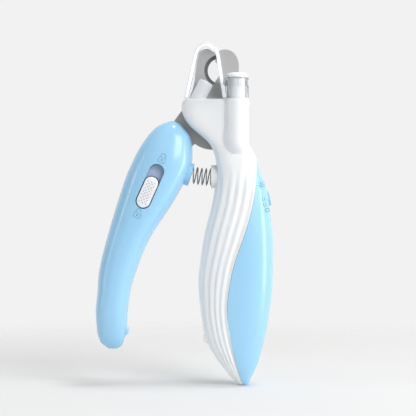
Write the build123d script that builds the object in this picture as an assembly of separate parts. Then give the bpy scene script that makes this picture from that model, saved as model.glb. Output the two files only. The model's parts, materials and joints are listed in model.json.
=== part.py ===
from build123d import *
import os
from math import atan2, copysign, cos, pi, radians, sin

os.makedirs("parts", exist_ok=True)

# Lighted pet nail clipper, standing on the tip of its fixed handle.
# Millimetres, +Z up, the front (LED side) towards -Y, the fixed handle on the right.

# ---- Driving dimensions: handles -------------------------------------------------
WALL = 1.8                     # moulded shell wall
PANEL_GAP = 0.15               # joint line between the white grip and the blue cover
RING_POINTS = 20               # points round each cross-section of a handle

# Fixed handle with the head: height, left edge, right edge, half depth, squareness
GRIP_SECTIONS = [
    (0.0, 20.4, 23.2, 1.2, 2.2),
    (1.0, 18.6, 23.5, 2.2, 2.2),
    (3.0, 16.6, 24.5, 3.2, 2.2),
    (6.2, 13.8, 26.3, 4.4, 2.3),
    (10.0, 11.2, 27.5, 5.6, 2.3),
    (15.3, 8.2, 28.8, 6.8, 2.4),
    (22.0, 6.4, 30.2, 8.0, 2.4),
    (29.8, 5.4, 31.4, 9.0, 2.4),
    (38.0, 4.9, 32.1, 9.7, 2.4),
    (47.0, 5.9, 32.3, 10.0, 2.4),
    (56.0, 7.4, 32.05, 9.9, 2.4),
    (65.0, 9.8, 31.0, 9.4, 2.4),
    (72.5, 11.1, 29.6, 8.8, 2.5),
    (79.0, 11.5, 27.2, 8.2, 2.7),
    (83.7, 10.8, 25.7, 7.7, 3.0),
    (88.0, 8.7, 23.2, 7.4, 3.6),
    (91.4, 4.8, 23.0, 7.5, 4.0),
    (95.7, 0.5, 23.0, 7.5, 4.2),
    (99.6, -1.0, 23.0, 7.5, 4.2),
    (103.7, -0.2, 23.0, 7.5, 4.2),
]
GRIP_VOID = (6.0, 80.0)        # heights between which the fixed handle is hollow

# Moving handle, the same five values
LEVER_SECTIONS = [
    (13.3, -27.6, -24.6, 1.2, 2.2),
    (14.2, -29.2, -23.0, 2.4, 2.2),
    (16.0, -30.9, -21.9, 3.8, 2.3),
    (19.0, -31.85, -21.2, 5.2, 2.4),
    (24.0, -32.3, -20.8, 6.8, 2.4),
    (30.0, -32.2, -20.3, 7.9, 2.4),
    (37.5, -31.6, -18.8, 8.8, 2.4),
    (46.0, -30.3, -15.9, 9.3, 2.4),
    (55.0, -27.9, -11.6, 9.6, 2.4),
    (63.0, -25.5, -6.4, 9.7, 2.5),
    (71.0, -22.9, -1.6, 9.7, 2.6),
    (77.0, -20.8, 1.4, 9.5, 2.6),
    (82.0, -18.5, 2.8, 9.1, 2.6),
    (87.0, -15.9, 2.8, 8.2, 2.6),
    (90.7, -13.3, 1.9, 7.0, 2.5),
    (93.3, -10.6, -0.3, 5.6, 2.4),
    (95.1, -7.4, -2.4, 3.8, 2.3),
    (95.9, -5.6, -3.6, 2.4, 2.2),
]
LEVER_VOID = (18.0, 91.0)

# Joint line between the white grip and the blue spine cover, from top to bottom
SEAM = [(25.4, 87.0), (25.8, 77.7), (24.9, 68.9), (23.6, 62.4), (21.7, 55.9), (19.4, 49.4),
        (17.5, 43.5), (16.0, 36.4), (15.1, 28.5), (15.4, 22.9), (17.5, 11.8), (19.2, 5.4), (21.8, -2.0)]

# ---- Driving dimensions: blades and pivot ----------------------------------------
PIVOT = (9.9, 95.7)            # x and z of the hinge of the two handles
PIVOT_R = 2.5
RUNNING = 0.05                 # radial clearance of a running fit
BLADE = 1.5                    # blade thickness
BLADE_GAP = 0.1                # play between the two blades
NAIL_HOLE_R = 4.55
NAIL_HOLE_FIXED = (12.94, 114.3)
NAIL_HOLE_MOVING = (8.3, 114.3)
BEVEL = 1.3                    # width of the ground edge round the fixed notch
HUB_LOW_R = 10.0               # rounded plate of the moving blade under the pivot
WASHER = (5.0, 0.7)            # outside radius and thickness
WASHER_PLAY = 0.1
SLOT_BACK = BLADE_GAP + BLADE + WASHER_PLAY + WASHER[1]      # rear wall of the blade slot, y
SLOT_RIGHT = 18.9
PIVOT_HEAD = (4.0, 1.4)        # radius and height of the pivot's head

# ---- Driving dimensions: post, splash cover, lamp --------------------------------
POST_AXIS = (18.8, -6.2)       # x and y of the upright post
POST_R = 3.5
POST_TOP = 111.2
POST_SEAT = 97.0
SLEEVE_WALL = 0.75
CAP_R = 4.1
CAP_HEIGHT = 1.7
BARREL_R = 4.3
BARREL_LOW = 84.0
COVER_FOOT = 104.0
COVER_WALL = 1.3
COVER_FRONT = -10.0
COVER_BACK = -2.0
COVER_LEFT = (0.05, 104.0, 3.35, 118.9)      # outer left edge, bottom to top
COVER_CROWN = [(4.6, 122.0), (7.7, 123.8), (10.9, 122.2)]
COVER_RIGHT = (12.8, 118.9, 15.1, 104.0)     # outer right edge, top to bottom
WINDOWS = 8
WINDOW = (2.0, 2.3)            # width and height of a window in the sleeve's crown
LAMP_R = 2.65
LAMP_BORE = 1.9
LAMP_FOOT = (4.75, 103.7)      # where the tube's axis leaves the head, x and z
LAMP_Y = -(BLADE + 0.1 + LAMP_R)     # the tube stands just clear of the fixed blade
LAMP_TILT = 27.4
LAMP_OUT = 7.0                 # visible length along the axis
LAMP_IN = 3.8                  # length held in the head
LED_R = 1.5

# ---- Driving dimensions: return spring and its seats -----------------------------
BOSS_CENTRE = (2.45, 76.4)     # face of the moving handle's boss, x and z
BOSS_TILT = 17.3
SEAT_CENTRE = (9.6, 75.8)      # face of the fixed handle's cup
CUP_DEPTH = 3.6
BOSS_DEPTH = 6.0
SPRING_R = 2.6
SPRING_WIRE_R = 0.28
GROOVE = (SPRING_R - 0.7, SPRING_R + 0.7, 1.2)     # inside radius, outside radius and depth
CUP_R = GROOVE[1] + 0.9
SPRING_PITCH = 1.8
END_PLAY = (0.9, 0.65)         # middle of the end coil above the boss's and the cup's groove

# ---- Driving dimensions: lock ----------------------------------------------------
LOCK_LOW = (-14.6, 66.9)       # lower end centre of the slot, x and z
LOCK_TILT = 24.1
LOCK_SLOT = (2.8, 11.5)        # end radius and distance between end centres
SLIDER = (2.5, 6.8)            # end radius and distance between end centres
LOCK_TRAVEL = LOCK_SLOT[1] - SLIDER[1]
LOCK_SKIN = LEVER_SECTIONS[10][3]    # half depth of the moving handle beside the slot
BED = (2.4 - LOCK_SKIN, 0.8)   # front face y and thickness of the slot's bed
SLIDER_FACE = -0.3 - LOCK_SKIN
STEM = (1.6, 3.0)              # width and length of the slider's stem
LATCH = (3.2, 12.0, 0.8)       # width, length and thickness of the latch strip

# ---- Driving dimensions: electrics -----------------------------------------------
SWITCH_AT = (30.25, 69.1)      # x and z on the spine's outer line
SWITCH_TILT = -14.0
SWITCH_TRAVEL = 2.5
KNOB = (3.4, 5.2)              # width and length
KNOB_PROUD = 0.6
KNOB_CLEAR = 0.3
BOARD = (1.0, 10.0, 22.0)      # thickness, width, length
BOARD_BACK = -7.2              # back face of the board, measured in from the spine
CELL_R = 5.8
CELL_HEIGHT = 5.4
CELLS = 3
CELL_X = 31.2 - WALL - CELL_R        # the cells lie against the spine's wall
BAY = (32.6, 1.0)              # underside of the holder and its end wall
HOLDER_SIDE = 0.8
HOLDER_LIP = 0.8               # how far the holder reaches past the cells' middle
CONTACT = 0.3
CELL_CLEAR = 0.1
SPRING_END = 1.7               # room for the contact spring above the cells

# ---- Driving dimensions: screws --------------------------------------------------
SCREW_R = 0.95
SCREW_HEAD = (1.9, 1.2)        # radius and height
SCREW_SINK = 1.0               # depth of the head under the surface
SCREW_TIP = -4.6
SCREW_BOSS_R = 2.3
HOUSING_SCREWS = [(20.9, 92.4), (21.8, 83.4), (13.2, 56.0), (10.9, 26.5)]
LEVER_SCREWS = [(-4.6, 86.6), (-10.6, 85.4), (-19.6, 56.0), (-26.6, 25.0)]
BLADE_PIN_R = 1.25
BLADE_PIN_TIP = -2.55           # stops short of the post
BLADE_PINS = [(15.8, 100.4), (14.6, 90.4)]

FIXED_Y = (-BLADE, 0.0)
MOVING_Y = (BLADE_GAP, BLADE_GAP + BLADE)
FAR = 60.0                     # beyond every piece


# ---- Helpers ---------------------------------------------------------------------
def ring(section, inset):
    height, left, right, depth, square = section
    middle = (left + right) / 2
    half_x = (right - left) / 2 - inset
    half_y = depth - inset
    points = []
    for step in range(RING_POINTS):
        turn = 2 * pi * (step + 0.5) / RING_POINTS
        across = copysign(abs(cos(turn)) ** (2 / square), cos(turn))
        deep = copysign(abs(sin(turn)) ** (2 / square), sin(turn))
        points.append(Vector(middle + half_x * across, half_y * deep, height))
    return Wire([Edge.make_spline(points, periodic=True)])


def handle_solid(sections, inset=0.0, low=-FAR, high=2 * FAR):
    return Solid.make_loft([ring(s, inset) for s in sections if low <= s[0] <= high])


def skin_depth(sections, x, z):
    """Half depth of a handle's surface above the point x, z of its middle plane."""
    for lower, upper in zip(sections, sections[1:]):
        if lower[0] <= z <= upper[0]:
            part = (z - lower[0]) / (upper[0] - lower[0])
            _, left, right, depth, square = (a + (b - a) * part for a, b in zip(lower, upper))
            share = min(abs(2 * x - left - right) / (right - left), 1.0)
            return depth * (1 - share ** square) ** (1 / square)
    raise ValueError("height outside the handle")


def prism(outline, y_low, y_high):
    """A front-view outline (x, z) given its depth from y_low to y_high."""
    return extrude(Plane.XZ.offset(-y_high) * outline, amount=y_high - y_low)


def rod(x, z, radius, y_low, y_high):
    """A round bar along Y."""
    return prism(Pos(x, z) * Circle(radius), y_low, y_high)


def upright(x, y, radius, z_low, z_high):
    return Pos(x, y, (z_low + z_high) / 2) * Cylinder(radius, z_high - z_low)


def block(x_low, x_high, y_low, y_high, z_low, z_high):
    centre = Pos((x_low + x_high) / 2, (y_low + y_high) / 2, (z_low + z_high) / 2)
    return centre * Box(x_high - x_low, y_high - y_low, z_high - z_low)


def front_half(shape):
    return shape & block(-FAR, FAR, -FAR, 0, -FAR, 3 * FAR)


def rear_half(shape):
    return shape & block(-FAR, FAR, 0, FAR, -FAR, 3 * FAR)


def screw(sections, x, z):
    """A countersunk-in screw from the rear and the hole that takes it."""
    seat = skin_depth(sections, x, z) - SCREW_SINK - SCREW_HEAD[1]
    shank = rod(x, z, SCREW_R, SCREW_TIP, seat)
    head = rod(x, z, SCREW_HEAD[0], seat, seat + SCREW_HEAD[1])
    recess = rod(x, z, SCREW_HEAD[0] * 0.3, seat + SCREW_HEAD[1] * 0.4, seat + SCREW_HEAD[1])
    cut = shank + rod(x, z, SCREW_HEAD[0], seat, seat + FAR / 4)
    return shank + head - recess, cut


def along_lock(distance):
    """A point (x, z) on the lock slot's line, measured up from its lower centre."""
    turn = radians(LOCK_TILT)
    return LOCK_LOW[0] + distance * sin(turn), LOCK_LOW[1] + distance * cos(turn)


def lock_outline(radius, length, start):
    """An obround on the lock slot's line whose lower centre is `start` up from the slot's."""
    x, z = along_lock(start + length / 2)
    return Pos(x, z) * Rot(0, 0, 90 - LOCK_TILT) * SlotCenterToCenter(length, 2 * radius)


# ---- Handle blanks ---------------------------------------------------------------
grip_blank = handle_solid(GRIP_SECTIONS)
grip_void = handle_solid(GRIP_SECTIONS, WALL, *GRIP_VOID)
lever_blank = handle_solid(LEVER_SECTIONS)
lever_void = handle_solid(LEVER_SECTIONS, WALL, *LEVER_VOID)

seam_top, seam_bottom = SEAM[0], SEAM[-1]
spine_outline = make_face(
    Spline(*SEAM)
    + Polyline(seam_bottom, (FAR, seam_bottom[1]), (FAR, seam_top[1]), seam_top)
)
spine_zone = prism(spine_outline, -FAR, FAR)

switch_place = Location((SWITCH_AT[0], 0, SWITCH_AT[1]), (0, SWITCH_TILT, 0))

# Ribs that carry the circuit board and the battery holder, left of the joint line
holder_back = CELL_X - CELL_R - CELL_CLEAR - HOLDER_SIDE
holder_half = CELL_R + CELL_CLEAR + HOLDER_SIDE
stack = CELLS * CELL_HEIGHT
holder_top = BAY[0] + 2 * BAY[1] + CONTACT + stack + SPRING_END
rib = 1.5
rib_gap = 2.2                  # open middle of each rib, where the wires run
ribs = []
for side in (-1, 1):
    y_low, y_high = sorted((side * rib_gap, side * FAR / 4))
    for height in (36.5, 46.0):
        ribs.append(block(0, holder_back, y_low, y_high, height, height + rib))
    for height in (-1.2, 6.2):
        ribs.append(switch_place * block(-FAR / 2, BOARD_BACK, y_low, y_high, height, height + rib))
for piece in ribs:
    grip_void = grip_void - piece
for x, z in HOUSING_SCREWS[2:]:
    grip_void = grip_void - rod(x, z, SCREW_BOSS_R, -FAR / 2, FAR / 2)
for x, z in LEVER_SCREWS:
    lever_void = lever_void - rod(x, z, SCREW_BOSS_R, -FAR / 2, FAR / 2)

# ---- Blades ----------------------------------------------------------------------
hole_x, hole_z = NAIL_HOLE_FIXED
fixed_lobe = make_face(
    Polyline((12.6, 119.4), (11.4, 120.5))
    + Spline((11.4, 120.5), (9.3, 122.05), (7.4, 122.1), (5.6, 121.2), (4.8, 119.3), (3.8, 112.6),
             (2.3, 105.9))
    + Polyline((2.3, 105.9), (1.0, 102.6), (0.9, 99.5), (2.8, 95.7), (7.0, 91.6), (10.6, 88.4),
               (12.8, 86.6), (16.2, 88.6), (18.3, 92.0), (18.3, 101.8), (14.2, 103.0), (13.2, 105.0),
               (12.6, 109.2), (12.6, 119.4))
)
fixed_blade = prism(fixed_lobe, *FIXED_Y)
notch = rod(hole_x, hole_z, NAIL_HOLE_R, -FAR, FAR)
bevel_depth = BLADE * 0.8
bevel = Pos(hole_x, FIXED_Y[0] + bevel_depth / 2, hole_z) * Rot(90, 0, 0) * Cone(
    NAIL_HOLE_R, NAIL_HOLE_R + BEVEL, bevel_depth)
fixed_blade = fixed_blade - notch - bevel
fixed_blade = fixed_blade - rod(*PIVOT, PIVOT_R, -FAR, FAR)

hub_left = PIVOT[0] + HUB_LOW_R * cos(radians(232)), PIVOT[1] + HUB_LOW_R * sin(radians(232))
hub_low = PIVOT[0] + HUB_LOW_R * cos(radians(255)), PIVOT[1] + HUB_LOW_R * sin(radians(255))
hub_right = PIVOT[0] + HUB_LOW_R * cos(radians(275)), PIVOT[1] + HUB_LOW_R * sin(radians(275))
moving_lobe = make_face(
    Spline((11.2, 110.6), (11.2, 118.4), (12.6, 121.6), (15.0, 122.15), (17.6, 121.2), (19.4, 118.4),
           (19.7, 114.5), (18.9, 109.0), (17.9, 104.0), tangents=[(0, 1), (-0.15, -1)])
    + Polyline((17.9, 104.0), (17.9, 95.7), (15.8, 90.0), hub_right)
    + ThreePointArc(hub_right, hub_low, hub_left)
    + Polyline(hub_left, (-1.5, 83.4), (-8.0, 81.8), (-12.6, 84.6), (-10.4, 90.4), (-3.8, 96.2),
               (-1.0, 100.0), (5.0, 103.0), (11.0, 104.6), (11.2, 110.6))
)
moving_blade = prism(moving_lobe, *MOVING_Y)
moving_blade = moving_blade - rod(*NAIL_HOLE_MOVING, NAIL_HOLE_R, -FAR, FAR)
moving_blade = moving_blade - rod(*PIVOT, PIVOT_R + RUNNING, -FAR, FAR)

# ---- Pivot, washer and locating pins ---------------------------------------------
head_depth = skin_depth(GRIP_SECTIONS, *PIVOT)
pivot_seat = head_depth - PIVOT_HEAD[1] - 0.6
pivot_pin = rod(*PIVOT, PIVOT_R, -4.6, pivot_seat) + rod(*PIVOT, PIVOT_HEAD[0], pivot_seat,
                                                       pivot_seat + PIVOT_HEAD[1])
pivot_slot = Pos(PIVOT[0], pivot_seat + PIVOT_HEAD[1], PIVOT[1]) * Box(6.0, 1.2, 0.9)
pivot_pin = pivot_pin - pivot_slot
pivot_cut = rod(*PIVOT, PIVOT_R, -4.6, FAR / 4) + rod(*PIVOT, PIVOT_HEAD[0], pivot_seat, FAR / 4)
washer_y = (SLOT_BACK - WASHER[1], SLOT_BACK)
pivot_washer = rod(*PIVOT, WASHER[0], *washer_y) - rod(*PIVOT, PIVOT_R + RUNNING, -FAR, FAR)
blade_pins = [rod(x, z, BLADE_PIN_R, BLADE_PIN_TIP, 0) for x, z in BLADE_PINS]
for piece in blade_pins:
    fixed_blade = fixed_blade - piece

# ---- Lamp ------------------------------------------------------------------------
lamp_place = Location((LAMP_FOOT[0], LAMP_Y, LAMP_FOOT[1]), (0, LAMP_TILT, 0))
lamp_end = 0.6                 # rounding of the tube's open end
lamp_tube = Pos(0, 0, (LAMP_OUT - LAMP_IN) / 2) * Cylinder(LAMP_R, LAMP_OUT + LAMP_IN)
lamp_tube = fillet(lamp_tube.edges().sort_by(Axis.Z)[-1], lamp_end)
lamp_tube = lamp_place * (lamp_tube - Cylinder(LAMP_BORE, FAR))
led_top = LAMP_OUT - 1.0
led = Pos(0, 0, led_top - 2.2) * Cylinder(LED_R, 4.4)
led = fillet(led.edges().sort_by(Axis.Z)[-1], LED_R * 0.8)
led_flange = Pos(0, 0, led_top - 4.9) * Cylinder(LAMP_BORE, 1.0)
led = lamp_place * (led + led_flange)
lamp_cut = lamp_place * (Pos(0, 0, (FAR / 2 - LAMP_IN) / 2) * Cylinder(LAMP_R, FAR / 2 + LAMP_IN))

# Two insulated wires from the lamp's flange down to the top of the circuit board
wire_r = 0.4
wire_y = 0.9                   # half distance between the two wires
flange = lamp_place * Pos(0, 0, led_top - 5.65)
board_top = switch_place * Pos(BOARD_BACK + BOARD[0] / 2, 0, BOARD[2] / 2 - 1.5)
wire_start = (flange.position.X, flange.position.Z)
wire_bend = (3.4, 98.2)
wire_turn = (13.4, 86.0)
wire_end = (board_top.position.X, board_top.position.Z + 1.5)
wires = []
for side in (-1, 1):
    deep = LAMP_Y + side * wire_y
    route = FilletPolyline(
        (wire_start[0], deep, wire_start[1]), (wire_bend[0], deep, wire_bend[1]),
        (wire_turn[0], deep, wire_turn[1]), (wire_end[0], deep + 1.2, wire_end[1]), radius=2.2)
    section = Plane(origin=route @ 0, z_dir=route % 0) * Circle(wire_r)
    wires.append(sweep(section, path=route))
wire_channel = make_face(
    Polyline((wire_bend[0] - 2.2, wire_bend[1] + 3.5), (wire_bend[0] + 1.6, wire_bend[1] + 2.6),
             (wire_turn[0] + 2.6, wire_turn[1] + 1.4), (wire_end[0] + 1.6, wire_end[1] + 1.0),
             (wire_end[0] - 3.0, wire_end[1] - 1.0), (wire_turn[0] - 1.6, wire_turn[1] - 1.6),
             (wire_bend[0] - 1.8, wire_bend[1] - 0.9), close=True)
)
wire_cut = prism(wire_channel, LAMP_Y - 1.6, LAMP_Y + 2.6)

# ---- Post, cap and splash cover --------------------------------------------------
cover_post = upright(*POST_AXIS, POST_R, POST_SEAT, POST_TOP)
post_cap = upright(*POST_AXIS, CAP_R, POST_TOP, POST_TOP + CAP_HEIGHT)
post_cap = fillet(post_cap.edges().sort_by(Axis.Z)[-1], CAP_HEIGHT * 0.8)


def cover_outline(inset, foot):
    """The arch of the splash cover, moved in by `inset`, closed at height `foot`."""
    left_x, left_z, left_top_x, left_top_z = COVER_LEFT
    right_top_x, right_top_z, right_x, right_z = COVER_RIGHT
    lean_left = (left_top_x - left_x) / (left_top_z - left_z)
    lean_right = (right_x - right_top_x) / (right_top_z - right_z)
    middle = (left_top_x + right_top_x) / 2
    crown = []
    for x, z in COVER_CROWN:
        turn = atan2(z - left_top_z, x - middle)
        crown.append((x - inset * cos(turn), z - inset * sin(turn)))
    top_left = (left_top_x + inset, left_top_z)
    top_right = (right_top_x - inset, right_top_z)
    foot_left = (left_x + inset + lean_left * (foot - left_z), foot)
    foot_right = (right_x - inset - lean_right * (foot - right_z), foot)
    arch = Spline(top_left, *crown, top_right, tangents=[(lean_left, 1), (lean_right, -1)])
    return make_face(Line(foot_left, top_left) + arch + Line(top_right, foot_right)
                     + Line(foot_right, foot_left))


cover_cup = prism(cover_outline(0, COVER_FOOT), COVER_FRONT, COVER_BACK)
cover_cup = fillet(cover_cup.edges().filter_by(lambda e: abs(e.center().Y - COVER_FRONT) < 0.01
                                               and e.center().Z > COVER_FOOT + 0.5), 0.6)
cover_hollow = prism(cover_outline(COVER_WALL, COVER_FOOT - 5), COVER_FRONT + COVER_WALL, FAR)
sleeve_r = POST_R + RUNNING + SLEEVE_WALL
sleeve = upright(*POST_AXIS, sleeve_r, COVER_FOOT, POST_TOP - 0.1)
splash_cover = cover_cup + sleeve - cover_hollow
splash_cover = splash_cover - upright(*POST_AXIS, POST_R + RUNNING, -FAR, 3 * FAR)
window_z = POST_TOP - WINDOW[1] / 2 - 0.5
for step in range(WINDOWS):
    window = Pos(*POST_AXIS, window_z) * Rot(0, 0, 360 * (step + 0.5) / WINDOWS) * (
        Pos(sleeve_r, 0, 0) * Box(1.0, WINDOW[0], WINDOW[1]))
    splash_cover = splash_cover - window

# ---- Return spring, its cup and its boss -----------------------------------------
groove_cut = Pos(0, 0, -GROOVE[2] / 2) * (Cylinder(GROOVE[1], GROOVE[2]) - Cylinder(GROOVE[0], GROOVE[2]))
cup_blank = Pos(0, 0, -CUP_DEPTH / 2) * Cylinder(CUP_R, CUP_DEPTH)
boss_blank = Pos(0, 0, -BOSS_DEPTH / 2) * Cylinder(CUP_R, BOSS_DEPTH)
seat_place = Location((SEAT_CENTRE[0], 0, SEAT_CENTRE[1]), (0, -90, 0))
boss_place = Location((BOSS_CENTRE[0], 0, BOSS_CENTRE[1]), (0, 90 + BOSS_TILT, 0))
spring_cup = seat_place * (cup_blank - groove_cut)
spring_cup_hole = seat_place * cup_blank
spring_boss = boss_place * (boss_blank - groove_cut)
spring_boss_hole = boss_place * boss_blank

spring_start = boss_place * Pos(0, 0, -GROOVE[2] + END_PLAY[0])
spring_stop = seat_place * Pos(0, 0, -GROOVE[2] + END_PLAY[1])
spring_line = spring_stop.position - spring_start.position
spring_axis = Plane(origin=spring_start.position, z_dir=spring_line)
coil = Helix(pitch=SPRING_PITCH, height=spring_line.length, radius=SPRING_R)
coil_section = Plane(origin=coil @ 0, z_dir=coil % 0) * Circle(SPRING_WIRE_R)
return_spring = spring_axis.location * sweep(coil_section, path=coil, is_frenet=True)

# ---- Lock ------------------------------------------------------------------------
lock_opening = prism(lock_outline(LOCK_SLOT[0], LOCK_SLOT[1], 0), -FAR, BED[0])
lock_bed = prism(lock_outline(LOCK_SLOT[0] + 1.2, LOCK_SLOT[1], 0), BED[0], BED[0] + BED[1])
stem_low = (SLIDER[1] - STEM[1]) / 2
play = 0.3
stem_path = prism(lock_outline(STEM[0] / 2 + play, STEM[1] + LOCK_TRAVEL, stem_low), -FAR, 0)
lock_bed_hole = lock_bed
lock_bed = lock_bed - stem_path
slider_back = BED[0] - 0.1
latch_front = BED[0] + BED[1] + play
lock_slider = prism(lock_outline(SLIDER[0], SLIDER[1], 0), SLIDER_FACE, slider_back)
lock_slider = fillet(lock_slider.edges().filter_by(lambda e: abs(e.center().Y - SLIDER_FACE) < 0.01), 0.5)
lock_slider = lock_slider + prism(lock_outline(STEM[0] / 2, STEM[1], stem_low), slider_back, latch_front)
lock_latch = prism(lock_outline(LATCH[0] / 2, LATCH[1] - LATCH[0], stem_low), latch_front,
                   latch_front + LATCH[2])

# ---- Electrics -------------------------------------------------------------------
board = switch_place * block(BOARD_BACK, BOARD_BACK + BOARD[0], -BOARD[1] / 2, BOARD[1] / 2,
                             -BOARD[2] / 2 - 1, BOARD[2] / 2 - 1)
board_front = BOARD_BACK + BOARD[0]
switch_case = block(board_front, -2.7, -2.2, 2.2, -5.0, 5.0)
switch_case = switch_case - block(-4.2, -2.7, -1.2, 1.2, -3.6, 3.6)
switch_body = switch_place * switch_case
knob_middle = -SWITCH_TRAVEL / 2
knob_cap = block(-1.5, KNOB_PROUD, -KNOB[0] / 2, KNOB[0] / 2, knob_middle - KNOB[1] / 2,
                 knob_middle + KNOB[1] / 2)
knob_cap = fillet(knob_cap.edges().group_by(Axis.X)[-1], 0.3)
knob_stem = block(-4.1, -1.5, -0.8, 0.8, knob_middle - 1.4, knob_middle + 1.4)
switch_knob = switch_place * (knob_cap + knob_stem)
knob_slot = switch_place * block(-6.0, 4.0, -KNOB[0] / 2 - KNOB_CLEAR, KNOB[0] / 2 + KNOB_CLEAR,
                                 knob_middle - KNOB[1] / 2 - KNOB_CLEAR,
                                 knob_middle + KNOB[1] / 2 + SWITCH_TRAVEL + KNOB_CLEAR)
resistor = switch_place * (Pos(board_front + 0.9, 0, -8.6) * Rot(90, 0, 0) * Cylinder(0.9, 4.2))

holder = block(holder_back, CELL_X + HOLDER_LIP, -holder_half, holder_half, BAY[0], holder_top)
holder = holder - block(holder_back + HOLDER_SIDE, FAR, -CELL_R - CELL_CLEAR, CELL_R + CELL_CLEAR,
                        BAY[0] + BAY[1], holder_top - BAY[1])
contact_low = BAY[0] + BAY[1]
cell_low = contact_low + CONTACT
contact_plate = block(holder_back + HOLDER_SIDE, CELL_X + HOLDER_LIP, -4.0, 4.0, contact_low, cell_low)
cells = [fillet((Pos(CELL_X, 0, cell_low + CELL_HEIGHT * (step + 0.5)) * Cylinder(CELL_R, CELL_HEIGHT)
                 ).edges().filter_by(GeomType.CIRCLE), 0.35) for step in range(CELLS)]
cell_top = cell_low + stack
contact_coil = Helix(pitch=0.55, height=SPRING_END - 0.5, radius=2.6, cone_angle=0)
contact_section = Plane(origin=contact_coil @ 0, z_dir=contact_coil % 0) * Circle(0.2)
contact_spring = Pos(CELL_X - 1.5, 0, cell_top + 0.25) * sweep(contact_section, path=contact_coil,
                                                              is_frenet=True)

# ---- Housings of the fixed handle ------------------------------------------------
barrel = upright(*POST_AXIS, BARREL_R, BARREL_LOW, GRIP_SECTIONS[-1][0])
barrel = fillet(barrel.edges().sort_by(Axis.Z)[0], BARREL_R * 0.9)
slot_outline = make_face(Polyline((-FAR, 110), (SLOT_RIGHT, 110), (SLOT_RIGHT, 91.0), (15.4, 86.6),
                                  (PIVOT[0], 84.8), (-FAR, 84.8), close=True))
blade_slot = prism(slot_outline, FIXED_Y[0], SLOT_BACK)
housing_screws = [screw(GRIP_SECTIONS, x, z) for x, z in HOUSING_SCREWS]
lever_screws = [screw(LEVER_SECTIONS, x, z) for x, z in LEVER_SCREWS]

grip_shell = (grip_blank - grip_void) + (front_half(barrel))
white_shell = grip_shell - spine_zone
ridges = [block(x, x + 0.5, -6.6, -5.6, GRIP_SECTIONS[-1][0] - 0.5, GRIP_SECTIONS[-1][0] + 1.0)
          for x in (8.0, 8.9)]
nub_place = (7.2, 17.0)
nub = rod(*nub_place, 1.5, -3.0, 3.0)

white_shell = white_shell + (nub - grip_void)
front_housing = front_half(white_shell)
for piece in ridges:
    front_housing = front_housing + piece
rear_housing = rear_half(white_shell)
post_socket = upright(*POST_AXIS, POST_R, POST_SEAT, FAR * 3)
for cut in (blade_slot, pivot_cut, lamp_cut, wire_cut, post_socket, spring_cup_hole, *blade_pins):
    front_housing = front_housing - cut
for cut in (blade_slot, pivot_cut, spring_cup_hole):
    rear_housing = rear_housing - cut
for _, cut in housing_screws:
    front_housing = front_housing - cut
    rear_housing = rear_housing - cut

spine_cover = (grip_blank - grip_void) & (Pos(PANEL_GAP, 0, 0) * spine_zone)
spine_cover = spine_cover - knob_slot

# ---- Shells of the moving handle -------------------------------------------------
lever_shell = lever_blank - lever_void
lever_nub = rod(-19.9, 19.9, 1.5, -3.0, 3.0) - lever_void
tang_pocket = prism(moving_lobe, 0, MOVING_Y[1])
lever_shell = lever_shell + lever_nub
lever_front = front_half(lever_shell) - lock_opening - lock_bed_hole - spring_boss_hole
lever_rear = rear_half(lever_shell) - spring_boss_hole
for _, cut in lever_screws:
    lever_front = lever_front - cut
    lever_rear = lever_rear - cut
    moving_blade = moving_blade - cut
lever_rear = lever_rear - tang_pocket

# ---- Placing and writing ---------------------------------------------------------
nodes = {
    "front_housing": [front_housing],
    "rear_housing": [rear_housing],
    "spine_cover": [spine_cover],
    "housing_screws": [solid for solid, _ in housing_screws],
    "fixed_blade": [fixed_blade],
    "blade_pins": blade_pins,
    "pivot_pin": [pivot_pin],
    "pivot_washer": [pivot_washer],
    "lamp_tube": [lamp_tube],
    "led": [led],
    "lamp_wires": wires,
    "cover_post": [cover_post],
    "post_cap": [post_cap],
    "splash_cover": [splash_cover],
    "spring_cup": [spring_cup],
    "return_spring": [return_spring],
    "circuit_board": [board],
    "resistor": [resistor],
    "switch_body": [switch_body],
    "switch_knob": [switch_knob],
    "battery_holder": [holder],
    "button_cells": cells,
    "contact_plate": [contact_plate],
    "contact_spring": [contact_spring],
    "lever_front_shell": [lever_front],
    "lever_rear_shell": [lever_rear],
    "lever_screws": [solid for solid, _ in lever_screws],
    "moving_blade": [moving_blade],
    "spring_boss": [spring_boss],
    "lock_bed": [lock_bed],
    "lock_slider": [lock_slider],
    "lock_latch": [lock_latch],
}


def solids_of(shapes):
    found = []
    for shape in shapes:
        found.extend(shape.solids())
    return found


whole = Compound(children=[Compound(solids_of(shapes)) for shapes in nodes.values()])
box = whole.bounding_box()
SHIFT = Vector(-(box.min.X + box.max.X) / 2, -(box.min.Y + box.max.Y) / 2, -box.min.Z)
for name, shapes in nodes.items():
    solids = [Pos(*SHIFT) * solid for solid in solids_of(shapes)]
    export_step(Compound(solids) if len(solids) > 1 else solids[0], f"parts/{name}.step")

if __name__ == "__main__":
    print("shift", SHIFT, "size", box.size)
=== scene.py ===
import json
import math
from bisect import bisect_right

import bmesh
import bpy
from bpy.props import FloatProperty, FloatVectorProperty, IntProperty, PointerProperty
from mathutils import Matrix, Vector
from mathutils.bvhtree import BVHTree


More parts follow.
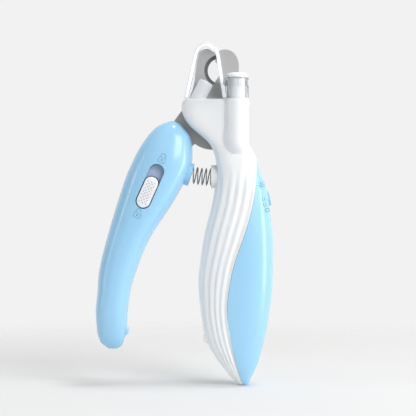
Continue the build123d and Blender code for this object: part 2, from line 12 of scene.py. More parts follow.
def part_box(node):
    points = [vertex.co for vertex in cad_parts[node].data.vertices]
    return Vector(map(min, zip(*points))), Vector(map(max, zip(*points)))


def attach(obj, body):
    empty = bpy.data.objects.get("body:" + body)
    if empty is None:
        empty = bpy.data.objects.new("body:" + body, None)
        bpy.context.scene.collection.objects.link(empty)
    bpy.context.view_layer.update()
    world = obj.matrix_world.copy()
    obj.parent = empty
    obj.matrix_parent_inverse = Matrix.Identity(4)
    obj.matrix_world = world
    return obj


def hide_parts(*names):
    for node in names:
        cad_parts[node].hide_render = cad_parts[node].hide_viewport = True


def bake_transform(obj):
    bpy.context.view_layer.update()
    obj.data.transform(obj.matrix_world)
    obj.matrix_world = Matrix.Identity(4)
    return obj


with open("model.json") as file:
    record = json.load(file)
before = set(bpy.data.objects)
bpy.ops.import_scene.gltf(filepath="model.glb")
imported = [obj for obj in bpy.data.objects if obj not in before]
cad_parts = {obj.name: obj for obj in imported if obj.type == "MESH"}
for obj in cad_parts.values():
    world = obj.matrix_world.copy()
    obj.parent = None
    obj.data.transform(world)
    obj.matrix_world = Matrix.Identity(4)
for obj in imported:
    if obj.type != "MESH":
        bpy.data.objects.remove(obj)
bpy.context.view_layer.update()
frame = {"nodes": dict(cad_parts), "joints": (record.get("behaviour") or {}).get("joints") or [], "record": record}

bl_info = {
    "name": "Lighted Nail Clipper",
    "version": (1, 0, 0),
    "blender": (4, 5, 0),
    "location": "3D View > Sidebar > Clipper",
    "description": "Builds the visible shells, lock, spring and finishes of a lighted pet nail clipper",
    "category": "Object",
}

MM = 0.001
MIDDLE_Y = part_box("fixed_blade")[1][1]      # the plane where the front and rear shells meet
FRONT, REAR = 1, -1
EDGE = 0.12 * MM                            # rounding where a shell was cut
GRIP_NUB, LEVER_NUB = 17.0 * MM, 19.9 * MM  # heights of the rest nubs on the two handles
NUB = 1.5 * MM                              # radius of a rest nub, and its reach from the middle plane
SLACK = 0.3 * MM                            # play round a piece that slides in a slot


# ---- Sizes and colours that a user would change ----------------------------------
class ClipperShells(bpy.types.PropertyGroup):
    """Sizes of the moulded handles."""
    wall: FloatProperty(name="Wall", description="Thickness of the moulded shells", default=1.7 * MM,
                        unit="LENGTH")
    level_gap: FloatProperty(name="Level gap", description="Height between two rings of a shell",
                             default=0.9 * MM, unit="LENGTH")
    columns: IntProperty(name="Columns", description="Faces round one half of a shell", default=80)
    flutes: IntProperty(name="Flutes", description="Lengthwise grooves on one side of the grip", default=5)
    flute_depth: FloatProperty(name="Flute depth", description="Depth of the grip's grooves",
                               default=0.42 * MM, unit="LENGTH")
    edge_round: FloatProperty(name="Edge round", description="Rounding of the head's top edge",
                              default=0.7 * MM, unit="LENGTH")


class ClipperLock(bpy.types.PropertyGroup):
    """Sizes of the lock slider and the symbols."""
    bump: FloatProperty(name="Bump", description="Width of one diamond on the slider", default=0.62 * MM,
                        unit="LENGTH")
    bump_pitch: FloatProperty(name="Bump pitch", description="Distance between two rows of diamonds",
                              default=0.92 * MM, unit="LENGTH")
    stroke: FloatProperty(name="Stroke", description="Half width of a symbol's line", default=0.12 * MM,
                          unit="LENGTH")


class ClipperColours(bpy.types.PropertyGroup):
    """Colours of the plastics and steels, scene linear."""
    white: FloatVectorProperty(name="White", description="White ABS", subtype="COLOR",
                               default=(0.86, 0.875, 0.89))
    blue: FloatVectorProperty(name="Blue", description="Light blue ABS", subtype="COLOR",
                              default=(0.33, 0.62, 0.86))
    # The padlock symbols are moulded grooves; this darker blue is their painted shade.
    icon: FloatVectorProperty(name="Symbol", description="Symbols on the blue shells", subtype="COLOR",
                              default=(0.13, 0.30, 0.40))
    bed: FloatVectorProperty(name="Slot bed", description="Floor of the lock slot", subtype="COLOR",
                             default=(0.42, 0.50, 0.66))
    blade: FloatVectorProperty(name="Blade", description="Ground blade steel", subtype="COLOR",
                               default=(0.47, 0.468, 0.465))
    wire: FloatVectorProperty(name="Spring wire", description="Drawn spring steel", subtype="COLOR",
                              default=(0.30, 0.30, 0.31))
    floor: FloatVectorProperty(name="Floor", description="Pale studio floor", subtype="COLOR",
                               default=(0.735, 0.732, 0.727))
    backdrop: FloatVectorProperty(name="Backdrop", description="Pale studio backdrop", subtype="COLOR",
                                  default=(0.887, 0.887, 0.887))


def shells():
    return bpy.context.scene.clipper_shells


def lock_sizes():
    return bpy.context.scene.clipper_lock


def colours():
    return bpy.context.scene.clipper_colours


# ---- Materials -------------------------------------------------------------------
def new_material(name):
    """An empty material with its Principled shader."""
    material = bpy.data.materials.new(name)
    material.use_nodes = True
    tree = material.node_tree
    return material, tree, tree.nodes["Principled BSDF"]


def fill(tree, node, inputs):
    """Gives each named input of a node its value, or joins it to the socket that drives it."""
    for name, value in inputs.items():
        if isinstance(value, bpy.types.NodeSocket):
            tree.links.new(value, node.inputs[name])
        else:
            node.inputs[name].default_value = value
    return node


def add_node(tree, kind, inputs=None, **settings):
    """A new shader node with its settings and its inputs."""
    node = tree.nodes.new("ShaderNode" + kind)
    for name, value in settings.items():
        setattr(node, name, value)
    return fill(tree, node, inputs or {})


def mix_shaders(tree, factor, first, second):
    """A node that goes from the first shader to the second as the factor rises."""
    return add_node(tree, "MixShader", {"Fac": factor, 1: first.outputs[0], 2: second.outputs[0]})


def own_place(tree):
    """The socket with a point's place in the piece's own coordinates."""
    return add_node(tree, "TexCoord").outputs["Object"]


def show(tree, shader):
    """Makes a shader the one that the material shows."""
    tree.links.new(shader.outputs[0], tree.nodes["Material Output"].inputs["Surface"])


def noise(tree, scale, detail, stretch=(1, 1, 1)):
    """A noise over the piece's own coordinates; stretch draws it out along an axis."""
    mapping = add_node(tree, "Mapping", {"Vector": own_place(tree), "Scale": stretch})
    return add_node(tree, "TexNoise", {"Vector": mapping.outputs["Vector"], "Scale": scale,
                                       "Detail": detail}).outputs["Fac"]


def ranged(tree, factor, low, high):
    """Maps the usual spread of a noise to the range low to high."""
    return add_node(tree, "MapRange", {"Value": factor, "From Min": 0.3, "From Max": 0.7, "To Min": low,
                                       "To Max": high}).outputs["Result"]


def tint(tree, factor, colour, spread):
    """Varies a colour slightly, darker and lighter by `spread`."""
    return add_node(tree, "Mix", {"Factor": factor,
                                  "A": (*(c * (1 - spread) for c in colour), 1),
                                  "B": (*(min(c * (1 + spread), 1) for c in colour), 1)},
                    data_type="RGBA").outputs["Result"]


def bump(tree, factor, strength, distance):
    """A fine relief from a factor, for a shader's Normal."""
    return add_node(tree, "Bump", {"Strength": strength, "Distance": distance,
                                   "Height": factor}).outputs["Normal"]


def plastic(name, colour, roughness, coat=0.0, glow=0.0):
    """Moulded plastic: faint flow marks in the colour, uneven gloss and a fine spark-eroded grain."""
    material, tree, shader = new_material(name)
    fill(tree, shader, {
        "Base Color": tint(tree, noise(tree, 60, 2), colour, 0.006),
        "Roughness": ranged(tree, noise(tree, 700, 2), roughness * 0.95, roughness * 1.05),
        "Normal": bump(tree, noise(tree, 1400, 2), 0.05, 0.02 * MM),
        "Coat Weight": coat, "Coat Roughness": 0.12, "Subsurface Weight": glow,
        "Subsurface Radius": (1.0, 0.9, 0.8), "Subsurface Scale": 1.2 * MM})
    return material


def steel(name, colour, roughness):
    """Plain or plated steel, with a faint grain."""
    material, tree, shader = new_material(name)
    lines = noise(tree, 900, 4)
    fill(tree, shader, {
        "Base Color": tint(tree, lines, colour, 0.06),
        "Roughness": ranged(tree, lines, roughness * 0.8, roughness * 1.25),
        "Normal": bump(tree, lines, 0.08, 0.01 * MM), "Metallic": 1.0})
    return material


def clear_plastic(name):
    """Clear polycarbonate: see-through and glossy, with painted shade where it turns away, and a frosty white rear
    rim with a painted glow.
    """
    material, tree, frost_and_painted_glow = new_material(name)
    # The rear rim's frosty white. Its emission is a painted glow that keeps it bright where it faces away from the
    # lamps.
    fill(tree, frost_and_painted_glow, {
        "Base Color": (0.9, 0.92, 0.94, 1), "Emission Color": (0.93, 0.96, 0.98, 1), "Emission Strength": 0.62,
        "Roughness": ranged(tree, noise(tree, 300, 2), 0.03, 0.06)})
    clear = add_node(tree, "BsdfTransparent", {"Color": (0.985, 0.99, 0.995, 1)})
    gloss = add_node(tree, "BsdfGlossy", {"Roughness": 0.05})
    fresnel = add_node(tree, "Fresnel", {"IOR": 1.18})
    sheet = mix_shaders(tree, fresnel.outputs["Fac"], clear, gloss)

    # A dark diffuse where the surface turns edge-on to the view: painted shade standing in for the dark edges that
    # refraction gives.
    line = add_node(tree, "BsdfDiffuse", {"Color": (0.10, 0.11, 0.12, 1)})
    facing = add_node(tree, "LayerWeight", {"Blend": 0.5})
    turned_away = add_node(tree, "MapRange", {"Value": facing.outputs["Facing"], "From Min": 0.9,
                                              "From Max": 0.97, "To Max": 0.25})
    with_painted_edge_shade = mix_shaders(tree, turned_away.outputs["Result"], sheet, line)

    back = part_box("splash_cover")[1][1]
    place = add_node(tree, "SeparateXYZ", {"Vector": own_place(tree)})
    # Mask of the rear rim, which shows the frosty white and its painted glow.
    rim = add_node(tree, "MapRange", {"Value": place.outputs["Y"], "From Min": back - 0.3 * MM,
                                      "From Max": back - 0.1 * MM, "To Max": 0.85})
    show(tree, mix_shaders(tree, rim.outputs["Result"], with_painted_edge_shade, frost_and_painted_glow))
    return material


def blade_metal(node, paint):
    """Matt blade steel with painted shade on the ground bevel, which lies between the planes of the blade's two
    faces.
    """
    material, tree, shader = new_material(node + "_steel")
    low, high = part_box(node)
    half = (high[1] - low[1]) / 2
    lines = noise(tree, 900, 4, (1, 1, 0.04))
    place = add_node(tree, "SeparateXYZ", {"Vector": own_place(tree)})
    offset = add_node(tree, "Math", {0: place.outputs["Y"], 1: low[1] + half}, operation="SUBTRACT")
    depth = add_node(tree, "Math", {0: offset.outputs["Value"]}, operation="ABSOLUTE")
    # Mask of the blade's two faces. Off them, on the bevel and the blade's edges, the colour drops to a painted
    # shade.
    face = add_node(tree, "MapRange", {"Value": depth.outputs["Value"], "From Min": half - 0.06 * MM,
                                       "From Max": half - 0.03 * MM})
    # A is the painted shade of the bevel, at about a fifth of the steel colour; B is the grained steel of the
    # faces.
    painted_bevel_shade_blend = add_node(tree, "Mix", {"Factor": face.outputs["Result"], "A": (*(c * 0.22 for c in paint), 1),
                                 "B": tint(tree, lines, paint, 0.04)}, data_type="RGBA")
    fill(tree, shader, {
        "Base Color": painted_bevel_shade_blend.outputs["Result"], "Roughness": ranged(tree, lines, 0.42, 0.55),
        "Normal": bump(tree, lines, 0.06, 0.01 * MM), "Metallic": 0.25})
    return material


def build_materials():
    paint = colours()
    return {
        "white_plastic": plastic("white_abs", paint.white, 0.30, coat=0.15, glow=0.08),
        "blue_plastic": plastic("blue_abs", paint.blue, 0.26, coat=0.3),
        # Painted shade of the padlock symbols' moulded grooves.
        "icon": plastic("symbol_groove_shade", paint.icon, 0.5),
        "bed_plastic": plastic("slot_bed", paint.bed, 0.5),
        # Grey of the slider's diamonds: painted shade standing in for the slider's sunken diamond texture.
        "diamond_shade_grey": plastic("diamond_shade_grey", (0.50, 0.53, 0.57), 0.45),
        "mark": plastic("mark_ink", (0.05, 0.17, 0.22), 0.5),
        # Black plastic. The ring under the lock knob also uses it as a painted shadow in the gap round the knob.
        "dark_plastic": plastic("black_nylon_and_gap_shadow", (0.02, 0.02, 0.022), 0.55),
        "nylon": plastic("natural_nylon", (0.75, 0.74, 0.68), 0.5),
        "clear_plastic": clear_plastic("clear_polycarbonate"),
        "fixed_blade": blade_metal("fixed_blade", paint.blade),
        "moving_blade": blade_metal("moving_blade", paint.blade),
        "zinc_steel": steel("zinc_plate", (0.5, 0.51, 0.53), 0.35),
        "spring_steel": steel("spring_wire", paint.wire, 0.30),
        "cell_steel": steel("cell_can", (0.62, 0.64, 0.66), 0.2),
        "contact_metal": steel("contact_plating", (0.62, 0.55, 0.36), 0.3),
        "led_epoxy": plastic("led_lens", (0.9, 0.92, 0.85), 0.1),
        "wire_insulation": plastic("wire_pvc", (0.45, 0.03, 0.03), 0.4),
        "board": plastic("board_mask", (0.02, 0.16, 0.07), 0.35),
        "component": plastic("resistor_lacquer", (0.5, 0.36, 0.2), 0.35),
    }


MATERIALS = {}


# ---- Mesh helpers ----------------------------------------------------------------
def link(name, data):
    """A new object of the scene, at the origin."""
    item = bpy.data.objects.new(name, data)
    bpy.context.scene.collection.objects.link(item)
    return item


def mesh_from(name, bm):
    """Turns a bmesh into a mesh and lets go of it."""
    mesh = bpy.data.meshes.new(name)
    bm.to_mesh(mesh)
    bm.free()
    return mesh


def finish_piece(bm, name, slot, smooth_angle=35):
    """Makes an object from a bmesh, smooth except across edges sharper than the angle."""
    bmesh.ops.recalc_face_normals(bm, faces=bm.faces)
    piece = link(name, mesh_from(name, bm))
    shade(piece, smooth_angle)
    piece.data.materials.append(MATERIALS[slot])
    return piece


def shade(piece, angle):
    """Smooths a piece except across edges sharper than the angle in degrees."""
    piece.data.polygons.foreach_set("use_smooth", [True] * len(piece.data.polygons))
    piece.data.set_sharp_from_angle(angle=math.radians(angle))


def settle(piece):
    """Applies the piece's modifiers to its mesh."""
    bpy.context.view_layer.update()
    shaped = piece.evaluated_get(bpy.context.evaluated_depsgraph_get())
    mesh = bpy.data.meshes.new_from_object(shaped)
    old = piece.data
    piece.modifiers.clear()
    piece.data = mesh
    bpy.data.meshes.remove(old)
    mesh.name = piece.name
    shade(piece, 35)


def boolean(piece, bm, operation):
    """Cuts a bmesh out of the piece or joins it to the piece, and applies the result."""
    bmesh.ops.recalc_face_normals(bm, faces=bm.faces)
    mesh = mesh_from("cutter", bm)
    tool = link("cutter", mesh)
    modifier = piece.modifiers.new("carve", "BOOLEAN")
    modifier.operation = operation
    modifier.solver = "EXACT"
    modifier.object = tool
    settle(piece)
    bpy.data.objects.remove(tool)
    bpy.data.meshes.remove(mesh)


def carve(piece, cutters):
    """Cuts each of the cutters, a list of bmeshes, out of the piece."""
    for cutter in cutters:
        boolean(piece, cutter, "DIFFERENCE")


def soften(piece, width):
    """A small rounding on the piece's sharp edges."""
    modifier = piece.modifiers.new("edge round", "BEVEL")
    modifier.width = width
    modifier.segments = 2
    modifier.limit_method = "ANGLE"
    modifier.angle_limit = math.radians(50)
    modifier.harden_normals = False


def unite(piece, part):
    """Joins a bmesh to the piece as one skin."""
    boolean(piece, part, "UNION")


def rest_nub(handle, z, angle, side):
    """A small rounded bump near a handle's tip, on the edge that faces the other handle."""
    edge = Vector(handle.point(z, angle, side)) - Vector((math.cos(angle) * 0.5 * MM, 0, 0))
    bm = rod_cutter((edge.x, z), NUB, MIDDLE_Y - side * NUB - 1.499 * MM, MIDDLE_Y - side * NUB + 1.499 * MM, 32)
    outer = [e for e in bm.edges if all(abs(v.co.y - MIDDLE_Y) > 2 * MM for v in e.verts)]
    bmesh.ops.bevel(bm, geom=outer, offset=0.8 * MM, segments=5, profile=0.5, affect="EDGES", material=-1)
    return bm


def bar_cutter(place, radius, low, high, segments=64):
    """A round bar along the local Z of `place`, from low to high."""
    bm = bmesh.new()
    bmesh.ops.create_cone(bm, cap_ends=True, segments=segments, radius1=radius, radius2=radius,
                          depth=high - low, matrix=place @ Matrix.Translation((0, 0, (low + high) / 2)))
    return bm


def rod_cutter(centre, radius, y_low, y_high, segments=64):
    """A round bar along Y, as a bmesh."""
    place = Matrix.Translation((centre[0], (y_low + y_high) / 2, centre[1])) @ Matrix.Rotation(
        math.pi / 2, 4, "X")
    return bar_cutter(place, radius, -(y_high - y_low) / 2, (y_high - y_low) / 2, segments)


def plate(points, y_low, y_high):
    """A flat outline of (x, z) points with a depth along Y, as a bmesh."""
    bm = bmesh.new()
    corners = [bm.verts.new((x, y_low, z)) for x, z in points]
    face = bm.faces.new(corners)
    grown = bmesh.ops.extrude_face_region(bm, geom=[face])
    moved = [g for g in grown["geom"] if isinstance(g, bmesh.types.BMVert)]
    bmesh.ops.translate(bm, verts=moved, vec=(0, y_high - y_low, 0))
    return bm


def obround(centre_low, centre_high, radius, steps=20):
    """Points (x, z) of a slot with round ends between two centres."""
    low, high = Vector(centre_low), Vector(centre_high)
    turn = math.atan2(high.y - low.y, high.x - low.x)
    points = []
    for centre, start in ((high, turn - math.pi / 2), (low, turn + math.pi / 2)):
        for step in range(steps + 1):
            angle = start + math.pi * step / steps
            points.append((centre.x + radius * math.cos(angle), centre.y + radius * math.sin(angle)))
    return points


# ---- Reading the handles' shape from the frame -----------------------------------
def surface_of(*pieces):
    """A search tree over the surfaces of some pieces."""
    bm = bmesh.new()
    for piece in pieces:
        bm.from_mesh(piece.data)
    tree = BVHTree.FromBMesh(bm)
    bm.free()
    return tree


def corners(name):
    """Low and high corner of a CAD node's box."""
    return tuple(Vector(corner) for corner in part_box(name))


def reach(tree, start, direction):
    """Where a ray from the start first meets the surfaces, or None."""
    return tree.ray_cast(Vector(start), Vector(direction))[0]


def unit(value):
    """The value, kept between 0 and 1."""
    return min(max(value, 0), 1)


class Outline:
    """Left and right edge and half depth of a handle at a run of heights, read from its CAD shells."""

    def __init__(self, names, gap, squareness, change=(0, 1), dome=0.0):
        """`dome` rounds the top: the least half width there is the root of dome times the distance down."""
        self.powers, self.change, self.dome = squareness, change, dome
        rear_low, rear_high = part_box(names[1])
        self.low, self.high = rear_low[2], rear_high[2]
        tree = surface_of(*(frame["nodes"][name] for name in names))
        far = 0.2
        depth = 4 * MM              # first guess; each row then starts from the one above
        rows = []
        margin = 0.04 * MM
        clear_of_nub = 3.2 * MM     # the rest nubs are 3 mm to each side of the middle
        for z in reversed(levels(self.low + margin, self.high - margin, gap)):
            power = self.squareness(z)
            chord_y = min(5 * MM, depth / 2)
            if chord_y < clear_of_nub < 0.7 * depth:
                chord_y = clear_of_nub
            left = reach(tree, (-far, MIDDLE_Y - chord_y, z), (1, 0, 0)).x
            right = reach(tree, (far, MIDDLE_Y - chord_y, z), (-1, 0, 0)).x
            middle, half = (left + right) / 2, (right - left) / 2
            share = 0.45
            crown = (1 - share ** power) ** (1 / power)
            hits = [reach(tree, (middle + side * share * half, far, z), (0, -1, 0)) for side in (-1, 1)]
            depth = max((hit.y - MIDDLE_Y) / crown for hit in hits if hit)
            half /= (1 - (chord_y / depth) ** power) ** (1 / power)
            rows.append((z, middle, half, depth))
        rows.reverse()
        self.rows = self.smoothed(rows)
        self.heights = [row[0] for row in self.rows]

    def squareness(self, z):
        """Power of the section's superellipse: it goes from the first to the second over the change."""
        share = unit((z - self.change[0]) / (self.change[1] - self.change[0]))
        return self.powers[0] + (self.powers[1] - self.powers[0]) * share * share * (3 - 2 * share)

    @staticmethod
    def smoothed(rows, rounds=3):
        ends = 6 * MM
        low, high = rows[0][0] + ends, rows[-1][0] - ends
        for _ in range(rounds):
            rows = [row if not low < row[0] < high else
                    (row[0], *((a + 2 * b + c) / 4 for a, b, c in zip(*(r[1:] for r in rows[i - 1:i + 2]))))
                    for i, row in enumerate(rows)]
        return rows

    def at(self, z):
        """Middle, half width, half depth and squareness at a height."""
        rows = self.rows
        z = min(max(z, rows[0][0]), rows[-1][0])
        index = min(bisect_right(self.heights, z), len(rows) - 1)
        lower, upper = rows[index - 1], rows[index]
        part = (z - lower[0]) / (upper[0] - lower[0])
        middle, half, depth = (a + (b - a) * part for a, b in zip(lower[1:], upper[1:]))
        down = rows[-1][0] - z
        dome_full, dome_foot = 2 * MM, 7 * MM       # distances down between which the dome fades out
        fade = unit((dome_foot - down) / (dome_foot - dome_full))
        half += max(math.sqrt(self.dome * down) - half, 0) * fade
        return middle, half, depth, self.squareness(z)

    def radius(self, z, angle, inset=0.0):
        """Distance from the section's middle to its skin, in the direction `angle` from +X."""
        _, half, depth, power = self.at(z)
        across = abs(math.cos(angle)) / (half - min(inset, half * 0.5))
        deep = abs(math.sin(angle)) / (depth - min(inset, depth * 0.5))
        return (across ** power + deep ** power) ** (-1 / power)


def levels(low, high, gap, ends=3 * MM):
    """Heights from low to high, closer together near both ends."""
    count = round((high - low) / gap)
    heights = [low + (high - low) * step / count for step in range(count + 1)]
    for near in (low, high):
        for share in (0.03, 0.08, 0.15, 0.25, 0.38, 0.52, 0.68, 0.84):
            heights.append(near + (ends if near == low else -ends) * share)
    heights.sort()
    kept = [heights[0]]
    for z in heights[1:]:
        if z - kept[-1] > 0.05 * MM:
            kept.append(z)
    kept[-1] = high
    return kept


def stack(loops):
    """A closed solid through a list of closed loops with as many points each, capped at both ends."""
    bm = bmesh.new()
    count = len(loops[0])
    made = bmesh.ops.create_circle(bm, segments=count, radius=1.0)
    ring = made["verts"]
    bottom_edges = list(bm.edges)
    for vert, point in zip(ring, loops[0]):
        vert.co = point
    edges = bottom_edges
    for loop in loops[1:]:
        grown = bmesh.ops.extrude_edge_only(bm, edges=edges)["geom"]
        new_edges = [g for g in grown if isinstance(g, bmesh.types.BMEdge)]
        partner = {}
        fresh = {g for g in grown if isinstance(g, bmesh.types.BMVert)}
        for vert in ring:
            for edge in vert.link_edges:
                other = edge.other_vert(vert)
                if other in fresh:
                    partner[vert] = other
        ring = [partner[vert] for vert in ring]
        for vert, point in zip(ring, loop):
            vert.co = point
        edges = new_edges
    bmesh.ops.contextual_create(bm, geom=bottom_edges)
    bmesh.ops.contextual_create(bm, geom=edges)
    return bm


# ---- The fixed handle ------------------------------------------------------------
class SeamLine:
    """Where the blue spine cover begins on the front, at each height, read from its CAD node."""

    def __init__(self, outline):
        tree = surface_of(frame["nodes"]["spine_cover"])
        low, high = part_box("spine_cover")
        self.rows = []
        count = 120
        for step in range(count + 1):
            z = low[2] + 0.1 * MM + (high[2] - low[2] - 0.2 * MM) * step / count
            middle, half, _, _ = outline.at(z)
            left, right = middle - half, middle + half
            for _ in range(16):
                probe = (left + right) / 2
                if reach(tree, (probe, -0.1, z), (0, 1, 0)):
                    right = probe
                else:
                    left = probe
            self.rows.append((z, right))
        self.top = high[2]

    def at(self, z):
        rows = self.rows
        step = (z - rows[0][0]) / (rows[-1][0] - rows[0][0]) * (len(rows) - 1)
        index = min(max(int(step), 0), len(rows) - 2)
        part = unit(step - index)
        return rows[index][1] + (rows[index + 1][1] - rows[index][1]) * part


class Handle:
    """What the two handles share: a skin round an outline."""

    def skin(self, z, angle, radius, side):
        """The point in that direction and at that distance from the section's middle."""
        return (self.outline.at(z)[0] + radius * math.cos(angle), MIDDLE_Y - side * radius * math.sin(angle), z)

    def hollow(self, low, high):
        """The closed inner space of the handle between two heights."""
        columns = shells().columns
        return stack([[self.point(z, 2 * math.pi * step / columns, REAR, shells().wall)
                       for step in range(columns)] for z in levels(low, high, 3 * MM)])


class Grip(Handle):
    """The fixed handle with its head: skin, flutes and the bulge that carries the post."""

    def __init__(self):
        self.size = shells()
        self.outline = Outline(("front_housing", "rear_housing", "spine_cover"), shells().level_gap,
                               (2.4, 4.2), (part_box("spring_cup")[0][2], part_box("pivot_pin")[0][2]))
        self.low = self.outline.low
        self.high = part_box("rear_housing")[1][2]
        self.seam = SeamLine(self.outline)
        post_low, post_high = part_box("cover_post")
        self.post = ((post_low[0] + post_high[0]) / 2, (post_low[1] + post_high[1]) / 2)
        self.barrel = abs(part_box("front_housing")[0][1] - self.post[1])
        self.barrel_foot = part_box("spring_cup")[1][2] + 4.1 * MM

    def seam_angle(self, z):
        """Direction of the joint line as seen from the section's middle; 0 above the blue cover."""
        if z > self.seam.top - 0.1 * MM:
            return 0.0
        middle = self.outline.at(z)[0]
        target = self.seam.at(z)
        low, high = 0.0, math.pi
        for _ in range(30):
            angle = (low + high) / 2
            if middle + self.outline.radius(z, angle) * math.cos(angle) > target:
                low = angle
            else:
                high = angle
        return low

    def bulge(self, z, angle):
        """Reach of the post's round housing in that direction, on the front."""
        middle = self.outline.at(z)[0]
        size = self.barrel
        rise = z - self.barrel_foot
        if rise < 0:
            return 0.0
        if rise < size:
            size *= math.sqrt(1 - (1 - rise / size) ** 2)
        dx, dy = self.post[0] - middle, MIDDLE_Y - self.post[1]
        along = dx * math.cos(angle) + dy * math.sin(angle)
        miss = dx * dx + dy * dy - along * along
        if miss > size * size:
            return 0.0
        return along + math.sqrt(size * size - miss)

    def flute(self, z, x, side_share):
        """Depth of the grooves at a point of the skin."""
        size = self.size
        middle, half, _, _ = self.outline.at(z)
        left = middle - half
        right = min(self.seam.at(z), middle + half)
        share = (right - x) / (right - left)
        fade_top, fade_full = 79 * MM, 70 * MM
        fade = unit((fade_top - z) / (fade_top - fade_full))
        fade *= unit((z - self.low) / (9 * MM))
        edge = unit((0.97 - share) / 0.08) * min(share / 0.03, 1)
        wave = 0.5 - 0.5 * math.cos(2 * math.pi * share * size.flutes)
        return size.flute_depth * fade * edge * wave ** 1.2 * (1.9 - 0.9 * side_share)

    def point(self, z, angle, side, inset=0.0, fluted=False):
        """A point of the skin on the front or the rear side."""
        middle = self.outline.at(z)[0]
        radius = self.outline.radius(z, angle, inset)
        if side == FRONT:
            bulge = self.bulge(z, angle) - inset
            blend = 1.6 * MM
            near = max(blend - abs(radius - bulge), 0) / blend
            radius = max(radius, bulge) + (near * near * blend / 4 if bulge > blend else 0)
        if fluted and z < self.seam.top:
            radius -= self.flute(z, middle + radius * math.cos(angle), abs(math.sin(angle)))
        return self.skin(z, angle, radius, side)

    def half_loop(self, z, side, inset=0.0, fluted=True):
        """A closed loop: the skin from the joint line round to the left edge, and back inside."""
        columns = shells().columns
        start = self.seam_angle(z)
        loop = [self.point(z, start + (math.pi - start) * step / columns, side, inset, fluted)
                for step in range(columns + 1)]
        middle, half, _, _ = self.outline.at(z)
        loop.append((min(self.seam.at(z), middle + half * 0.8), MIDDLE_Y, z))
        return loop

    def rim(self, heights, round_size):
        """Pairs of height and inset: each level, then a rounded top edge."""
        rows = [(z, 0.0) for z in heights if z < self.high - round_size]
        steps = 6
        for step in range(steps + 1):
            turn = math.pi / 2 * step / steps
            rows.append((self.high - round_size * (1 - math.sin(turn)), round_size * (1 - math.cos(turn))))
        return rows

    def half(self, side):
        """One half of the white handle as a solid, up to the middle plane."""
        rows = self.rim(levels(self.low, self.high, shells().level_gap), shells().edge_round)
        return stack([self.half_loop(z, side, inset, inset == 0) for z, inset in rows])

    def spine(self):
        """The blue cover: a curved shell from the front joint line round the spine to the rear one."""
        columns = shells().columns
        gap = 0.12 * MM
        low, high = self.low, self.seam.top - 1.0 * MM
        loops = []
        for z in levels(low, high, shells().level_gap):
            start = max(self.seam_angle(z) - gap / self.outline.radius(z, self.seam_angle(z)), 0.02)
            outer = [self.point(z, start * (1 - 2 * step / columns), FRONT) for step in range(columns + 1)]
            turns = [-start * (1 - 2 * step / columns) for step in range(columns + 1)]
            inner = [self.skin(z, turn, self.outline.radius(z, turn, shells().wall), FRONT) for turn in turns]
            loops.append(outer + inner)
        return stack(loops)


def lamp_place():
    """The lamp tube's middle and direction, from the CAD tube's box."""
    low, high = corners("lamp_tube")
    radius = (high.y - low.y) / 2
    width, height = high.x - low.x, high.z - low.z
    # A tilted cylinder's box is length * sin + 2r * cos wide and length * cos + 2r * sin high.
    turn = 0.4
    for _ in range(40):
        length = (height - 2 * radius * math.sin(turn)) / math.cos(turn)
        turn += (width - length * math.sin(turn) - 2 * radius * math.cos(turn)) / (length + radius) * 0.5
    return Matrix.Translation((low + high) / 2) @ Matrix.Rotation(turn, 4, "Y"), radius, length


def slot_cutter():
    """The opening in the head in which the moving blade swings."""
    fixed_low, fixed_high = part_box("fixed_blade")
    pin = [(a + b) / 2 for a, b in zip(*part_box("pivot_pin"))]
    right = fixed_high[0] + 0.5 * MM
    far, top = -0.1, 0.2            # beyond the head at the left and above
    wall_foot, corner_foot, floor = (pin[2] - drop * MM for drop in (4.7, 9.1, 10.9))
    points = [(far, top), (right, top), (right, wall_foot), (right - 3.5 * MM, corner_foot),
              (pin[0], floor), (far, floor)]
    play = 0.02 * MM
    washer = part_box("pivot_washer")
    return plate(points, fixed_low[1] - play, washer[1][1] + play)


def screw_cutters(node):
    """A bore for each screw head of a CAD node, out through the rear skin."""
    bm = bmesh.new()
    bm.from_mesh(frame["nodes"][node].data)
    bmesh.ops.remove_doubles(bm, verts=bm.verts, dist=0.001 * MM)
    cutters = []
    left = set(bm.verts)
    while left:
        group, queue = set(), [left.pop()]
        while queue:
            vert = queue.pop()
            group.add(vert)
            for edge in vert.link_edges:
                other = edge.other_vert(vert)
                if other in left:
                    left.discard(other)
                    queue.append(other)
        xs, ys, zs = ([v.co[i] for v in group] for i in range(3))
        radius = (max(xs) - min(xs)) / 2
        centre = ((max(xs) + min(xs)) / 2, (max(zs) + min(zs)) / 2)
        top = max(ys)
        head = max(v.co.y for v in group if math.hypot(v.co.x - centre[0], v.co.z - centre[1]) < radius * 0.6)
        cutters.append(rod_cutter(centre, radius + 0.12 * MM, min(top, head) - 1.3 * MM, 0.05, 48))
    bm.free()
    return cutters


